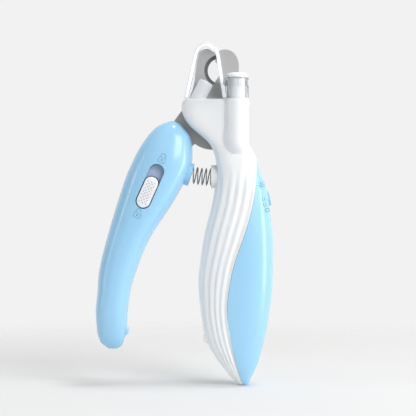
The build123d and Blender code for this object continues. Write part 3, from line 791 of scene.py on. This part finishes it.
class CLIPPER_OT_fixed_handle(bpy.types.Operator):
    """Build the fluted white grip halves and the blue spine cover"""
    bl_idname = "clipper.fixed_handle"
    bl_label = "Fixed Handle"

    def execute(self, context):
        grip = Grip()
        cup_low, cup_high = corners("spring_cup")
        cup = (cup_low + cup_high) / 2
        cup_radius = (cup_high.z - cup_low.z) / 2
        side_on = Matrix.Rotation(math.pi / 2, 4, "Y")
        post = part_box("cover_post")
        post_radius = (post[1][0] - post[0][0]) / 2
        lamp, lamp_radius, lamp_length = lamp_place()
        pivot_low, pivot_high = corners("pivot_pin")
        pivot = (pivot_low + pivot_high) / 2
        low, high = 6 * MM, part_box("spring_cup")[1][2] + 1 * MM

        for side, node, name in ((FRONT, "front_housing", "white_grip_front"),
                                 (REAR, "rear_housing", "white_grip_rear")):
            piece = finish_piece(grip.half(side), name, "white_plastic")
            unite(piece, rest_nub(grip, GRIP_NUB, math.pi, side))
            cutters = [grip.hollow(low, high), slot_cutter(),
                       bar_cutter(Matrix.Translation(cup) @ side_on, cup_radius, -1.8 * MM, 3 * MM)]
            if side == FRONT:
                socket = Matrix.Translation((grip.post[0], grip.post[1], 0))
                cutters.append(bar_cutter(socket, post_radius + 0.02 * MM, post[0][2], 0.2))
                cutters.append(bar_cutter(lamp, lamp_radius + 0.02 * MM, -lamp_length / 2, 0.05))
            else:
                cutters.append(rod_cutter((pivot.x, pivot.z), (pivot_high.x - pivot_low.x) / 2 + 0.1 * MM,
                                          pivot_high.y - 1.6 * MM, 0.05))
                cutters.extend(screw_cutters("housing_screws"))
            carve(piece, cutters)
            soften(piece, EDGE)
            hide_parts(node)
            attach(piece, "body")

        cover = finish_piece(grip.spine(), "blue_spine_cover", "blue_plastic")
        knob = frame["nodes"]["switch_knob"]
        carve(cover, [knob_slot(knob)])
        soften(cover, EDGE)
        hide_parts("spine_cover")
        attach(cover, "body")
        return {"FINISHED"}


def switch_axis():
    """Direction in which the light switch slides, and its travel."""
    joint = next(j for j in frame["joints"] if j["name"] == "switch_slide")
    return Vector(joint["axis"]), joint["range_m"][1]


def knob_slot(knob):
    """The slot in the spine in which the switch knob slides."""
    axis, travel = switch_axis()
    low, high = corners("switch_knob")
    outward = Vector((axis.z, 0, -axis.x))
    points = [v.co for v in knob.data.vertices]
    top = max(p.dot(outward) for p in points)
    cap_height, slot_depth = 1.9 * MM, 4 * MM
    cap = [p for p in points if p.dot(outward) > top - cap_height]
    start, end = min(p.dot(axis) for p in cap), max(p.dot(axis) for p in cap) + travel
    bm = bmesh.new()
    place = Matrix((
        (outward.x, 0, axis.x, 0), (0, 1, 0, 0), (outward.z, 0, axis.z, 0), (0, 0, 0, 1)))
    centre = outward * (top - slot_depth / 2) + axis * ((start + end) / 2) + Vector((0, MIDDLE_Y, 0))
    size = Vector((2 * slot_depth, high.y - low.y + 2 * SLACK, end - start + 2 * SLACK))
    bmesh.ops.create_cube(bm, size=1.0, matrix=Matrix.Translation(centre) @ place @ Matrix.Diagonal((*size, 1)))
    return bm


# ---- The moving handle -----------------------------------------------------------
class Lever(Handle):
    """The blue moving handle's skin."""

    def __init__(self):
        self.outline = Outline(("lever_front_shell", "lever_rear_shell"), shells().level_gap, (2.45, 2.45),
                               dome=11.9 * MM)
        self.low, self.high = self.outline.low, self.outline.high

    def point(self, z, angle, side, inset=0.0):
        """A point of the skin on the front or the rear side."""
        return self.skin(z, angle, self.outline.radius(z, angle, inset), side)

    def half(self, side):
        """One shell of the handle as a solid, up to the middle plane."""
        columns = shells().columns
        loops = []
        for z in levels(self.low, self.high, shells().level_gap):
            loop = [self.point(z, math.pi * step / columns, side) for step in range(columns + 1)]
            loop.append((self.outline.at(z)[0], MIDDLE_Y, z))
            loops.append(loop)
        return stack(loops)


def lock_line():
    """The slot's lower and upper end centres (x, z), its direction and its end radius."""
    joint = next(j for j in frame["joints"] if j["name"] == "lock_slide")
    axis = Vector((joint["axis"][0], joint["axis"][2]))
    travel = joint["range_m"][1]
    low, high = (Vector((v[0], v[2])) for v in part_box("lock_slider"))
    middle = (low + high) / 2
    reach_up = (high.y - low.y) / 2
    radius = (high.x - low.x - (high.y - low.y) * axis.x / axis.y) / 2 / (1 - axis.x / axis.y)
    half = (reach_up - radius) / axis.y
    return middle - axis * half, middle + axis * half, axis, travel, radius


class CLIPPER_OT_moving_handle(bpy.types.Operator):
    """Build the two blue shells of the moving handle"""
    bl_idname = "clipper.moving_handle"
    bl_label = "Moving Handle"

    def execute(self, context):
        lever = Lever()
        start, end, axis, travel, radius = lock_line()
        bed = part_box("lock_bed")
        opening = obround(start, end + axis * travel, radius + SLACK)
        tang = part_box("moving_blade")
        for side, node, name in ((FRONT, "lever_front_shell", "blue_handle_front"),
                                 (REAR, "lever_rear_shell", "blue_handle_rear")):
            piece = finish_piece(lever.half(side), name, "blue_plastic")
            unite(piece, rest_nub(lever, LEVER_NUB, 0.0, side))
            cutters = [lever.hollow(lever.low + 4.7 * MM, lever.high - 4.9 * MM)]
            if side == FRONT:
                cutters.append(plate(opening, -0.05, bed[0][1]))
            else:
                cutters.extend(screw_cutters("lever_screws"))
                left, right, foot, top = tang[0][0] + 4 * MM, 30 * MM, 80 * MM, 110 * MM
                notch = [(left, foot), (right, foot), (right, top), (left, top)]
                cutters.append(plate(notch, MIDDLE_Y - 0.5 * MM, tang[1][1] + 0.05 * MM))
            carve(piece, cutters)
            soften(piece, EDGE)
            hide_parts(node)
            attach(piece, "lever")
        return {"FINISHED"}


# ---- Lock slider and symbols -----------------------------------------------------
class CLIPPER_OT_lock_slider(bpy.types.Operator):
    """Build the white slider with its diamond grip"""
    bl_idname = "clipper.lock_slider"
    bl_label = "Lock Slider"

    def execute(self, context):
        start, end, axis, travel, radius = lock_line()
        low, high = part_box("lock_slider")
        bed_front, bed_back = (corner[1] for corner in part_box("lock_bed"))
        face_y = low[1] + 0.3 * MM
        knob_back = bed_front - 0.05 * MM
        bm = plate(obround(start, end, radius), face_y, knob_back)
        front_edges = [e for e in bm.edges if all(abs(v.co.y - face_y) < 0.01 * MM for v in e.verts)]
        bmesh.ops.bevel(bm, geom=front_edges, offset=0.6 * MM, segments=5, profile=0.5, affect="EDGES",
                        material=-1)
        piece = finish_piece(bm, "lock_knob", "white_plastic", 30)
        # A black ring a little wider than the knob, just under it: a painted shadow filling the gap round the
        # knob.
        gap_shadow_ring = finish_piece(plate(obround(start, end, radius + 0.26 * MM), bed_front - 0.4 * MM, knob_back),
                             "lock_knob_gap_shadow", "dark_plastic")
        middle = (start + end) / 2
        across = Vector((axis.y, -axis.x))
        size = lock_sizes()
        bm = bmesh.new()
        reach_along = (end - start).length / 2
        rows = int((reach_along + radius) / size.bump_pitch)
        pitch = size.bump_pitch * 0.72
        turn = Matrix.Rotation(math.atan2(axis.x, axis.y), 4, "Y")
        for row in range(-rows, rows + 1):
            for column in range(-3, 4):
                if (row + column) % 2:
                    continue
                spot = middle + axis * (row * pitch) + across * (column * pitch)
                nearest = middle + axis * max(-reach_along, min(reach_along, (spot - middle).dot(axis)))
                if (spot - nearest).length > radius - 0.75 * MM:
                    continue
                place = Matrix.Translation((spot.x, face_y - 0.12 * MM, spot.y)) @ turn @ Matrix.Rotation(
                    math.pi / 2, 4, "X")
                bmesh.ops.create_cone(bm, cap_ends=True, segments=4, radius1=size.bump * 0.5,
                                      radius2=size.bump * 0.16, depth=0.26 * MM, matrix=place)
        # The diamonds are raised and grey; the grey is a painted shade for the slider's sunken diamonds.
        diamonds = finish_piece(bm, "lock_knob_diamonds", "diamond_shade_grey", 30)
        foot = middle - axis * 1.1 * MM     # the stem stays under the knob at every place of the knob
        stem_half, stem_radius, stem_play = axis * 0.7 * MM, 0.8 * MM, 0.1 * MM
        stem_piece = finish_piece(plate(obround(foot - stem_half, foot + stem_half, stem_radius),
                                        bed_front - 0.06 * MM, high[1]), "lock_knob_stem", "white_plastic")
        floor = finish_piece(plate(obround(start, end + axis * travel, radius + 1.5 * MM), bed_front, bed_back),
                             "lock_slot_floor", "bed_plastic")
        slot = obround(foot - stem_half - axis * stem_play, foot + stem_half + axis * (travel + stem_play),
                       stem_radius + stem_play)
        carve(floor, [plate(slot, bed_front - 1 * MM, bed_back + 1 * MM)])
        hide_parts("lock_bed")
        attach(floor, "lever")
        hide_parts("lock_slider")
        for part in (piece, gap_shadow_ring, diamonds, stem_piece):
            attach(part, "lock")
        return {"FINISHED"}


def symbol(name, strokes, tree, direction, body, ink_and_groove_shade="icon"):
    """Lines laid on a shell's skin. Each stroke is a list of (x, z) points and whether it is closed."""
    curve = bpy.data.curves.new(name, "CURVE")
    curve.dimensions = "3D"
    curve.bevel_depth = lock_sizes().stroke
    curve.bevel_resolution = 2
    curve.use_fill_caps = True
    for points, closed in strokes:
        placed = []
        for x, z in points:
            hit = reach(tree, Vector((x, 0, z)) - Vector(direction) * 0.1, direction)
            placed.append(hit + Vector(direction) * lock_sizes().stroke * 0.45)
        spline = curve.splines.new("POLY")
        spline.points.add(len(placed) - 1)
        for control, point in zip(spline.points, placed):
            control.co = (*point, 1)
        spline.use_cyclic_u = closed
    holder = link(name, curve)
    bpy.context.view_layer.update()
    mesh = bpy.data.meshes.new_from_object(holder.evaluated_get(bpy.context.evaluated_depsgraph_get()))
    bpy.data.objects.remove(holder)
    piece = link(name, mesh)
    mesh.materials.clear()
    # Line colour: a painted shade of the moulded grooves for the padlocks, and the mark colour for the spine's
    # marks.
    mesh.materials.append(MATERIALS[ink_and_groove_shade])
    shade(piece, 60)
    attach(piece, body)
    return piece


def arc(centre, radius, start, end, steps=14):
    """Points of an arc from one angle to another."""
    return [(centre[0] + radius * math.cos(start + (end - start) * s / steps),
             centre[1] + radius * math.sin(start + (end - start) * s / steps)) for s in range(steps + 1)]


def padlock(opened):
    """A padlock 2.6 mm wide about the origin, its shackle shut or swung up."""
    wide, tall, round_off = 1.3 * MM, 1.9 * MM, 0.3 * MM
    body = [(-wide, 0), (-wide, -tall + round_off), (-wide + round_off, -tall), (wide - round_off, -tall),
            (wide, -tall + round_off), (wide, 0)]
    bow = 0.85 * MM
    lift = 0.75 * MM
    shackle = [(-bow, 0)] + arc((0, lift), bow, math.pi, 0)
    if opened:
        shackle.append((bow, lift * 0.9))
    else:
        shackle.append((bow, 0))
    keyhole = arc((0, -tall * 0.45), 0.28 * MM, 0, 2 * math.pi, 10)[:-1]
    return [(body, True), (shackle, False), (keyhole, True)]


def turned(strokes, centre, angle, scale=1.0):
    """Strokes turned clockwise by the angle, scaled and moved to a centre."""
    cosine, sine = math.cos(angle) * scale, math.sin(angle) * scale
    return [([(centre[0] + x * cosine + z * sine, centre[1] - x * sine + z * cosine) for x, z in points], closed)
            for points, closed in strokes]


class CLIPPER_OT_symbols(bpy.types.Operator):
    """Lay the padlock, lamp and off symbols on the blue shells"""
    bl_idname = "clipper.symbols"
    bl_label = "Symbols"

    def execute(self, context):
        start, end, axis, travel, _ = lock_line()
        tilt = math.atan2(axis.x, axis.y)
        front = surface_of(bpy.data.objects["blue_handle_front"])
        upper = end + axis * (travel + 5.4 * MM)
        lower = start - axis * 4.6 * MM
        symbol("padlock_shut", turned(padlock(False), upper, tilt, 0.95), front, (0, 1, 0), "lever")
        symbol("padlock_open", turned(padlock(True), lower, tilt, 0.95), front, (0, 1, 0), "lever")

        spine = surface_of(bpy.data.objects["blue_spine_cover"])
        slide, _ = switch_axis()
        lean = math.atan2(slide.x, slide.z)
        knob_low, knob_high = corners("switch_knob")
        knob = (knob_low + knob_high) / 2
        along = Vector((slide.x, slide.z)).normalized()
        foot = Vector((knob.x + 0.85 * MM, knob.z - 4.15 * MM))
        rays = [([(math.cos(a) * 1.15 * MM, math.sin(a) * 1.15 * MM),
                  (math.cos(a) * 1.75 * MM, math.sin(a) * 1.75 * MM)], False)
                for a in (math.pi / 4 * k for k in range(8))]
        sun = [(arc((0, 0), 0.65 * MM, 0, 2 * math.pi, 16)[:-1], True), *rays]
        tall, wide, step = 1.7 * MM, 1.2 * MM, 2.15 * MM
        letter_o = [([(x * wide / tall, z) for x, z in arc((0, 0), tall / 2, 0, 2 * math.pi, 18)[:-1]], True)]
        letter_f = [([(wide / 2, tall / 2), (-wide / 2, tall / 2), (-wide / 2, -tall / 2)], False),
                    ([(-wide / 2, 0), (wide / 3, 0)], False)]
        sideways = lean - math.pi / 2
        for place, strokes in enumerate((letter_o, letter_f, letter_f)):
            symbol(f"off_mark_{place + 1}", turned(strokes, foot + along * step * place, sideways), spine,
                   (0, 1, 0), "body", "mark")
        symbol("lamp_mark", turned(sun, foot + along * 9.4 * MM, lean, 0.85), spine,
               (0, 1, 0), "body", "mark")
        return {"FINISHED"}


# ---- Return spring ---------------------------------------------------------------
class CLIPPER_OT_return_spring(bpy.types.Operator):
    """Wind the return spring between its boss and its cup"""
    bl_idname = "clipper.return_spring"
    bl_label = "Return Spring"

    def execute(self, context):
        low, high = corners("return_spring")
        wire = 0.23 * MM
        radius = (high.y - low.y) / 2 + 0.15 * MM
        middle = (low + high) / 2
        inset, slope, sag = wire + 0.1 * MM, 0.45 * MM, 0.35 * MM
        left = Vector((low.x + inset, middle.y, middle.z + slope))
        right = Vector((high.x - inset, middle.y, middle.z - slope))
        line = right - left
        turns = 4.75
        steps = 36
        bm = bmesh.new()
        bmesh.ops.create_circle(bm, segments=10, radius=wire, matrix=Matrix.Translation((radius, 0, 0))
                                @ Matrix.Rotation(math.pi / 2, 4, "X"))
        total = round(turns * steps)
        bmesh.ops.spin(bm, geom=bm.verts[:] + bm.edges[:], cent=(0, 0, 0), axis=(0, 0, 1),
                       dvec=(0, 0, line.length / total), angle=turns * 2 * math.pi, steps=total,
                       use_duplicate=False)
        bmesh.ops.holes_fill(bm, edges=bm.edges, sides=12)
        place = Matrix.Translation(left) @ line.to_track_quat("Z", "Y").to_matrix().to_4x4()
        bmesh.ops.transform(bm, matrix=place, verts=bm.verts)
        for vert in bm.verts:
            share = (vert.co - left).dot(line.normalized()) / line.length
            vert.co.z -= math.sin(math.pi * unit(share)) * sag
        piece = finish_piece(bm, "spring_coil", "spring_steel", 60)
        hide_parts("return_spring")
        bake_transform(piece)
        return {"FINISHED"}


# ---- Finishes on the carried CAD pieces ------------------------------------------
class CLIPPER_OT_finishes(bpy.types.Operator):
    """Give every carried CAD piece its material"""
    bl_idname = "clipper.finishes"
    bl_label = "Finishes"

    def execute(self, context):
        slots = {part["node"]: part["material_slot"] for part in frame["record"]["subparts"]}
        slots["switch_knob"] = "blue_plastic"
        for name, node in frame["nodes"].items():
            node.data.materials.clear()
            node.data.materials.append(MATERIALS.get(name) or MATERIALS[slots[name]])
        return {"FINISHED"}


# ---- Stage -----------------------------------------------------------------------
def area_light(name, place, target, size, power, colour=(1, 1, 1)):
    """A rectangular soft light that points at the target."""
    light = bpy.data.lights.new(name, "AREA")
    light.shape = "RECTANGLE"
    light.size, light.size_y = size
    light.energy = power
    light.color = colour
    holder = link(name, light)
    holder.location = place
    holder.rotation_euler = (Vector(target) - Vector(place)).to_track_quat("-Z", "Y").to_euler()


def fading_floor(paint):
    """Floor material: matt near the piece, clear further out, so that the floor has no visible rim."""
    material, tree, shader = new_material("studio_floor")
    fill(tree, shader, {"Roughness": 1.0, "Specular IOR Level": 0.0,
                        "Base Color": tint(tree, noise(tree, 40, 1), paint, 0.002)})
    mapping = add_node(tree, "Mapping", {"Vector": own_place(tree), "Scale": (3.2, 3.2, 3.2)})
    gradient = add_node(tree, "TexGradient", {"Vector": mapping.outputs["Vector"]}, gradient_type="SPHERICAL")
    fade = add_node(tree, "MapRange", {"Value": gradient.outputs["Fac"], "From Min": 0.02, "From Max": 0.75},
                    interpolation_type="SMOOTHSTEP")
    show(tree, mix_shaders(tree, fade.outputs["Result"], add_node(tree, "BsdfTransparent"), shader))
    return material


def studio_card(name, width, depth, place, turn, material):
    """A flat sheet of the studio, such as the floor or the backdrop."""
    bm = bmesh.new()
    bmesh.ops.create_grid(bm, x_segments=2, y_segments=2, size=0.5)
    bmesh.ops.scale(bm, vec=(width, depth, 1), verts=bm.verts)
    bmesh.ops.rotate(bm, matrix=Matrix.Rotation(turn, 3, "X"), verts=bm.verts)
    card = link(name, mesh_from(name, bm))
    card.location = place
    card.data.materials.append(material)


class CLIPPER_OT_stage(bpy.types.Operator):
    """Set up the pale floor, the backdrop, the soft lights and the camera"""
    bl_idname = "clipper.stage"
    bl_label = "Stage"

    def execute(self, context):
        scene = context.scene
        paint = colours()
        studio_card("studio_floor", 1.4, 1.4, (0, 0, 0), 0, fading_floor(paint.floor))
        lit, tree, shader = new_material("backdrop_glow")
        fill(tree, shader, {"Base Color": (0, 0, 0, 1), "Specular IOR Level": 0.0,
                            "Emission Color": (*paint.backdrop, 1), "Emission Strength": 1.0})
        studio_card("studio_backdrop", 6, 6, (0, 1.6, 0), math.pi / 2, lit)

        world = bpy.data.worlds.new("studio")
        world.use_nodes = True
        sky = world.node_tree.nodes["Background"]
        sky.inputs["Color"].default_value = (*paint.backdrop, 1)
        sky.inputs["Strength"].default_value = 0.5
        scene.world = world

        centre = Vector((0, 0, 0.06))
        area_light("key_right", (0.68, -0.84, 0.66), centre, (0.68, 0.8), 9.2)
        area_light("panel_right", (0.5, -0.12, 0.06), centre, (0.14, 0.5), 1.1)
        area_light("strip_left", (-0.4, -0.12, 0.1), centre, (0.02, 0.4), 0.3, (0.85, 0.93, 1.0))
        area_light("top", (0.28, -0.04, 1.14), centre, (0.3, 0.3), 4.2)

        camera = bpy.data.cameras.new("camera")
        camera.sensor_width = 36
        camera.lens = 113.6
        camera.clip_start = 0.01
        holder = link("camera", camera)
        holder.location = (8.64 * MM, -478 * MM, 64.4 * MM)
        holder.rotation_euler = (math.pi / 2, 0, 0)
        scene.camera = holder
        scene.view_settings.view_transform = "Standard"
        return {"FINISHED"}


class CLIPPER_PT_sidebar(bpy.types.Panel):
    """Lists the clipper's sizes, colours and building steps"""
    bl_label = "Nail Clipper"
    bl_idname = "CLIPPER_PT_sidebar"
    bl_space_type = "VIEW_3D"
    bl_region_type = "UI"
    bl_category = "Clipper"

    def draw(self, context):
        for title, group in (("Shells", shells()), ("Lock and symbols", lock_sizes()), ("Colours", colours())):
            box = self.layout.box()
            box.label(text=title)
            for name in group.bl_rna.properties.keys():
                if name not in ("rna_type", "name"):
                    box.prop(group, name)
        for operator in STEPS:
            self.layout.operator(operator.bl_idname)


GROUPS = ((ClipperShells, "clipper_shells"), (ClipperLock, "clipper_lock"), (ClipperColours, "clipper_colours"))
STEPS = (CLIPPER_OT_finishes, CLIPPER_OT_fixed_handle, CLIPPER_OT_moving_handle, CLIPPER_OT_lock_slider,
         CLIPPER_OT_symbols, CLIPPER_OT_return_spring, CLIPPER_OT_stage)


def register():
    for group, name in GROUPS:
        bpy.utils.register_class(group)
        setattr(bpy.types.Scene, name, PointerProperty(type=group))
    for item in (*STEPS, CLIPPER_PT_sidebar):
        bpy.utils.register_class(item)


def unregister():
    for item in reversed((*STEPS, CLIPPER_PT_sidebar)):
        bpy.utils.unregister_class(item)
    for group, name in GROUPS:
        delattr(bpy.types.Scene, name)
        bpy.utils.unregister_class(group)


def main():
    register()
    MATERIALS.update(build_materials())
    for operator in STEPS:
        family, step = operator.bl_idname.split(".")
        getattr(getattr(bpy.ops, family), step)()


if __name__ == "__main__":
    main()
